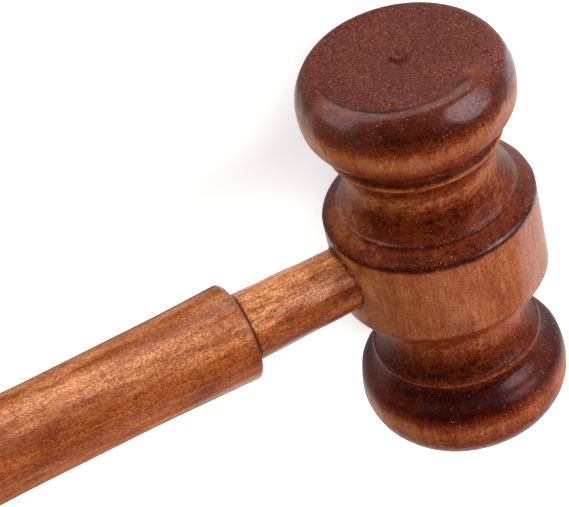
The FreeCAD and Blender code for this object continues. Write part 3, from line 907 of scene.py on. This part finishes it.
woodLook = {"Pores": 4800.0, "dustScale": 2600.0, "dustSize": 0.24, "dustLift": 0.02, "dustRough": 0.4}
headLook = {
    **woodLook, "turn": (pi / 2, 0, 0), "Across": 700.0, "Stretch": 0.12, "Mottle": 110.0,
    "tone": 0.86, "streak": 0.14, "mottle": 0.18, "fine": 1.6, "fibre": 0.26, "pore": 0.08,
    # The mark of skin facing -y is painted shade, and the stain mark carries painted light and shade
    "marks": {"stain": -0.72, "toner": -0.35, "bare": 0.4, "worn": 0.5},  # share of each mark in the tone
    "Deep": (0.034, 0.0018, 0.0003), "Middle": (0.17, 0.0225, 0.0024), "Pale": (0.455, 0.142, 0.04),
    "dustAmount": 0.16, "dustCover": 0.7, "dustColour": (0.62, 0.36, 0.27),
    "rough": 0.36, "roughSpread": 0.14, "peelScale": 420.0, "peel": 0.06,
    "streakLift": 0.012, "poreLift": 0.03, "fineLift": 0.03,
    # Dark colour for the painted shade and dark lines, then the lacquer's settings
    "darkLinesAndPaintedShade": (0.022, 0.003, 0.001), "shine": 0.07, "coatRough": 0.19, "glossLeast": 0.35,
}
sandedLook = {
    **woodLook, "turn": (pi / 2, 0, 0), "Across": 520.0, "Stretch": 0.15, "Mottle": 80.0,
    "tone": 0.43, "streak": 0.1, "mottle": 0.16, "fine": 1.3, "fibre": 0.2, "pore": 0.08,
    "marks": {"torn": 0.06, "worn": 0.42},
    "Deep": (0.048, 0.009, 0.005), "Middle": (0.139, 0.033, 0.022), "Pale": (0.36, 0.11, 0.03),
    "dustAmount": 0.34, "dustCover": 0.7, "dustColour": (0.55, 0.33, 0.26),
    "rough": 0.48, "roughSpread": 0.15, "fineLift": 0.06,
}
gripLook = {
    **woodLook, "turn": (0, -pi / 2 - tip, 0), "Across": 320.0, "Stretch": 0.09, "Mottle": 80.0,
    "tone": 0.57, "streak": 0.24, "mottle": 0.22, "fine": 0.9, "fibre": 0.34, "pore": 0.12,
    "marks": {"edge": -0.26, "far": 0.04, "streaks": 0.5},
    "Deep": (0.12, 0.015, 0.001), "Middle": (0.345, 0.08, 0.013), "Pale": (0.74, 0.272, 0.095),
    "dustAmount": 0.12, "dustCover": 0.5, "dustColour": (0.85, 0.58, 0.42),
    "rough": 0.34, "roughSpread": 0.14, "peelScale": 380.0, "peel": 0.08,
    "streakLift": 0.02, "poreLift": 0.04, "fineLift": 0.03,
    # Dark colour for the painted shade and dark lines, then the lacquer's settings
    "darkLinesAndPaintedShade": (0.062, 0.011, 0.004), "shine": 0.12, "coatRough": 0.26, "glossLeast": 0.7,
}
neckLook = {
    **gripLook, "Across": 420.0, "Stretch": 0.1, "Mottle": 150.0,
    "tone": 0.63, "streak": 0.26, "mottle": 0.3, "fine": 0.85, "fibre": 0.5,
    "marks": {"streaks": 0.5}, "rough": 0.3, "peel": 0.09, "shine": 0.16,
}
glueLook = {
    "dark": (0.105, 0.019, 0.005), "amber": (0.34, 0.1, 0.022),
    "rough": 0.5, "roughSpread": 0.25, "shine": 0.2,
}


def glueMaterial(name, look):
    # Dark lacquer and glue: two browns mixed by noise, with a fine pitted surface.
    material = bpy.data.materials.new(name)
    tree = newTree(material)
    place = addNode(tree, "TexCoord"), "Object"
    noise = noiseOver(tree, place, 900.0, Detail=4.0, Roughness=0.6)
    colour = mixColour(tree, remap(tree, noise, 0.46, 0.66, smooth=True), look["dark"], look["amber"])
    rough = remap(tree, noise, 0.3, 0.7, look["rough"], look["rough"] + look["roughSpread"])
    bump = addNode(tree, "Bump", Strength=0.8, Distance=0.0002, Height=noise)
    surface = addNode(tree, "BsdfPrincipled", Base_Color=colour, Roughness=rough, Normal=(bump, 0))
    surface.inputs["Specular IOR Level"].default_value = look["shine"]
    addNode(tree, "OutputMaterial", Surface=(surface, 0))
    return material


curedGlue = glueMaterial("curedGlue", glueLook)
head.data.materials.append(woodMaterial("headWood", headLook, sandedLook))
neck.data.materials.append(woodMaterial("neckWood", neckLook))
grip.data.materials.append(woodMaterial("gripWood", gripLook))
collar.data.materials.append(curedGlue)
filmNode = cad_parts["grip_joint_glue"]
filmNode.data.materials.clear()
filmNode.data.materials.append(curedGlue)
print("materials made")

# Studio
studio = {
    "aim": (-0.08, 0, 0.02),  # the point on the gavel that every panel faces
    "floorHalf": 3.0,
    "floorColour": (0.75, 0.75, 0.75),
    "floorGlow": 0.65,  # what the camera sees on top of the lit floor
    "farGlow": 0.4,  # more of it far out, where the panels' light thins
    "farFrom": 0.45,
    "farTo": 1.4,
    "mirrorGlow": 0.66,  # what reflections see on top of the lit floor
    "darkBeyond": ((73, -0.0645), (0, -0.0625)),  # reflections find it dark past both lines
    "darkEdge": 0.002,
    "darkShare": 0.85,
    "worldLow": 0.22,
    "worldHigh": 0.05,
    # Soft panels: azimuth, elevation, distance, width, height and brightness
    "panels": {
        "backPanel": (82, 40, 1.0, 0.9, 0.6, 6.0),
        "frontPanel": (-135, 32, 1.1, 1.6, 1.05, 2.7),
        "fillPanel": (-68, 20, 1.2, 1.2, 0.7, 2.2),
        "sidePanel": (136, 24, 1.1, 0.9, 0.8, 2.0),
    },
    "panelColour": (1.0, 1.0, 1.0),
    "glints": {
        "frontGlint": (-145, 42, 1.1, 1.1, 1.05, 3.4),
        "sideGlint": (137, 8, 1.1, 0.7, 0.4, 3.0),
    },
    "glintColour": (1.0, 0.85, 0.93),
}
camera = {
    "place": (0.06766, -0.34861, 0.39719), "turn": (-34.4092, -29.1757, 166.9912),
    "lens": 168.25, "sensor": 36, "clip": (0.05, 20),
}


def makeFloor(look):
    # Pale floor: a wide square, lit and shadowed, plus a glow that only the camera and reflections see.
    half, margin = look["floorHalf"], look["darkEdge"]
    mesh = bpy.data.meshes.new("studioFloor")
    corners = [(-half, -half, 0), (half, -half, 0), (half, half, 0), (-half, half, 0)]
    mesh.from_pydata(corners, [], [(0, 1, 2, 3)])
    floor = placed("studioFloor", mesh)
    material = bpy.data.materials.new("floorPaper")
    mesh.materials.append(material)
    tree = newTree(material)
    ray = addNode(tree, "LightPath")
    spot = addNode(tree, "TexCoord"), "Object"
    shade = 1.0
    for turn, start in look["darkBeyond"]:
        across = addNode(tree, "VectorMath", operation="DOT_PRODUCT")
        feed(tree, across, 0, spot)
        feed(tree, across, 1, (cos(radians(turn)), sin(radians(turn)), 0))
        past = remap(tree, (across, "Value"), start - margin, start + margin, smooth=True)
        shade = times(tree, past, shade)
    shade = times(tree, times(tree, shade, (ray, "Is Glossy Ray")), look["darkShare"])
    lit = maths(tree, "SUBTRACT", 1.0, shade)
    away = addNode(tree, "VectorMath", operation="LENGTH", Vector=spot), "Value"
    farGlow = look["floorGlow"] + look["farGlow"]
    glowHere = remap(tree, away, look["farFrom"], look["farTo"], look["floorGlow"], farGlow, smooth=True)
    seen = maths(tree, "MAXIMUM", (ray, "Is Camera Ray"), (ray, "Is Transmission Ray"))
    mirrored = times(tree, (ray, "Is Glossy Ray"), look["mirrorGlow"])
    glowing = times(tree, plus(tree, times(tree, seen, glowHere), mirrored), lit)
    glow = addNode(tree, "Emission", Strength=glowing)
    paper = addNode(tree, "CombineColor")
    for channel, level in enumerate(look["floorColour"]):
        feed(tree, paper, channel, times(tree, lit, level))
    matt = addNode(tree, "BsdfDiffuse", Color=(paper, 0))
    both = addNode(tree, "AddShader")
    feed(tree, both, 0, (matt, 0))
    feed(tree, both, 1, (glow, 0))
    addNode(tree, "OutputMaterial", Surface=(both, 0))


def makeWorld(look):
    # Room light: pale near the horizon, darker overhead, and plain white to the camera.
    world = bpy.data.worlds.new("studioRoom")
    bpy.context.scene.world = world
    tree = newTree(world)
    way = addNode(tree, "TexCoord")
    split = addNode(tree, "SeparateXYZ", Vector=(way, "Generated"))
    ray = addNode(tree, "LightPath")
    level = remap(tree, (split, "Z"), 0.0, 0.55, look["worldLow"], look["worldHigh"], smooth=True)
    level = maths(tree, "MAXIMUM", level, (ray, "Is Camera Ray"))
    sky = addNode(tree, "Background", Color=(1, 1, 1, 1), Strength=level)
    addNode(tree, "OutputWorld", Surface=(sky, 0))


def addPanel(name, panel, aim, colour, mirrored):
    # A panel that faces the aim, with the power for its brightness. It lights the wood, or else it is an
    # ellipse that is only seen mirrored.
    azimuth, elevation, distance, width, height, brightness = panel
    around, up = radians(azimuth), radians(elevation)
    way = np.array([cos(up) * cos(around), cos(up) * sin(around), sin(up)])
    light = bpy.data.lights.new(name, "AREA")
    light.shape = "ELLIPSE" if mirrored else "RECTANGLE"
    light.size, light.size_y = width, height
    light.energy = pi * width * height * (pi / 4 if mirrored else 1) * brightness
    light.color = colour
    lamp = placed(name, light)
    lamp.location = np.array(aim) + way * distance
    lamp.rotation_euler = (pi / 2 - up, 0, around + pi / 2)
    lamp.visible_camera = False
    lamp.visible_diffuse = not mirrored
    lamp.visible_glossy = mirrored


def makePanels(look):
    # Panels that light the wood, and glints that only show as reflections in the lacquer.
    for name, panel in look["panels"].items():
        addPanel(name, panel, look["aim"], look["panelColour"], False)
    for name, panel in look["glints"].items():
        addPanel(name, panel, look["aim"], look["glintColour"], True)


def makeCamera(view):
    # Camera at the photograph's angle.
    lens = bpy.data.cameras.new("photoView")
    lens.sensor_fit = "HORIZONTAL"
    lens.sensor_width = view["sensor"]
    lens.lens = view["lens"]
    lens.clip_start, lens.clip_end = view["clip"]
    eye = placed("photoView", lens)
    eye.location = view["place"]
    eye.rotation_euler = [radians(angle) for angle in view["turn"]]
    bpy.context.scene.camera = eye


makeFloor(studio)
makeWorld(studio)
makePanels(studio)
makeCamera(camera)
bpy.context.scene.view_settings.view_transform = "Standard"
print("studio made")
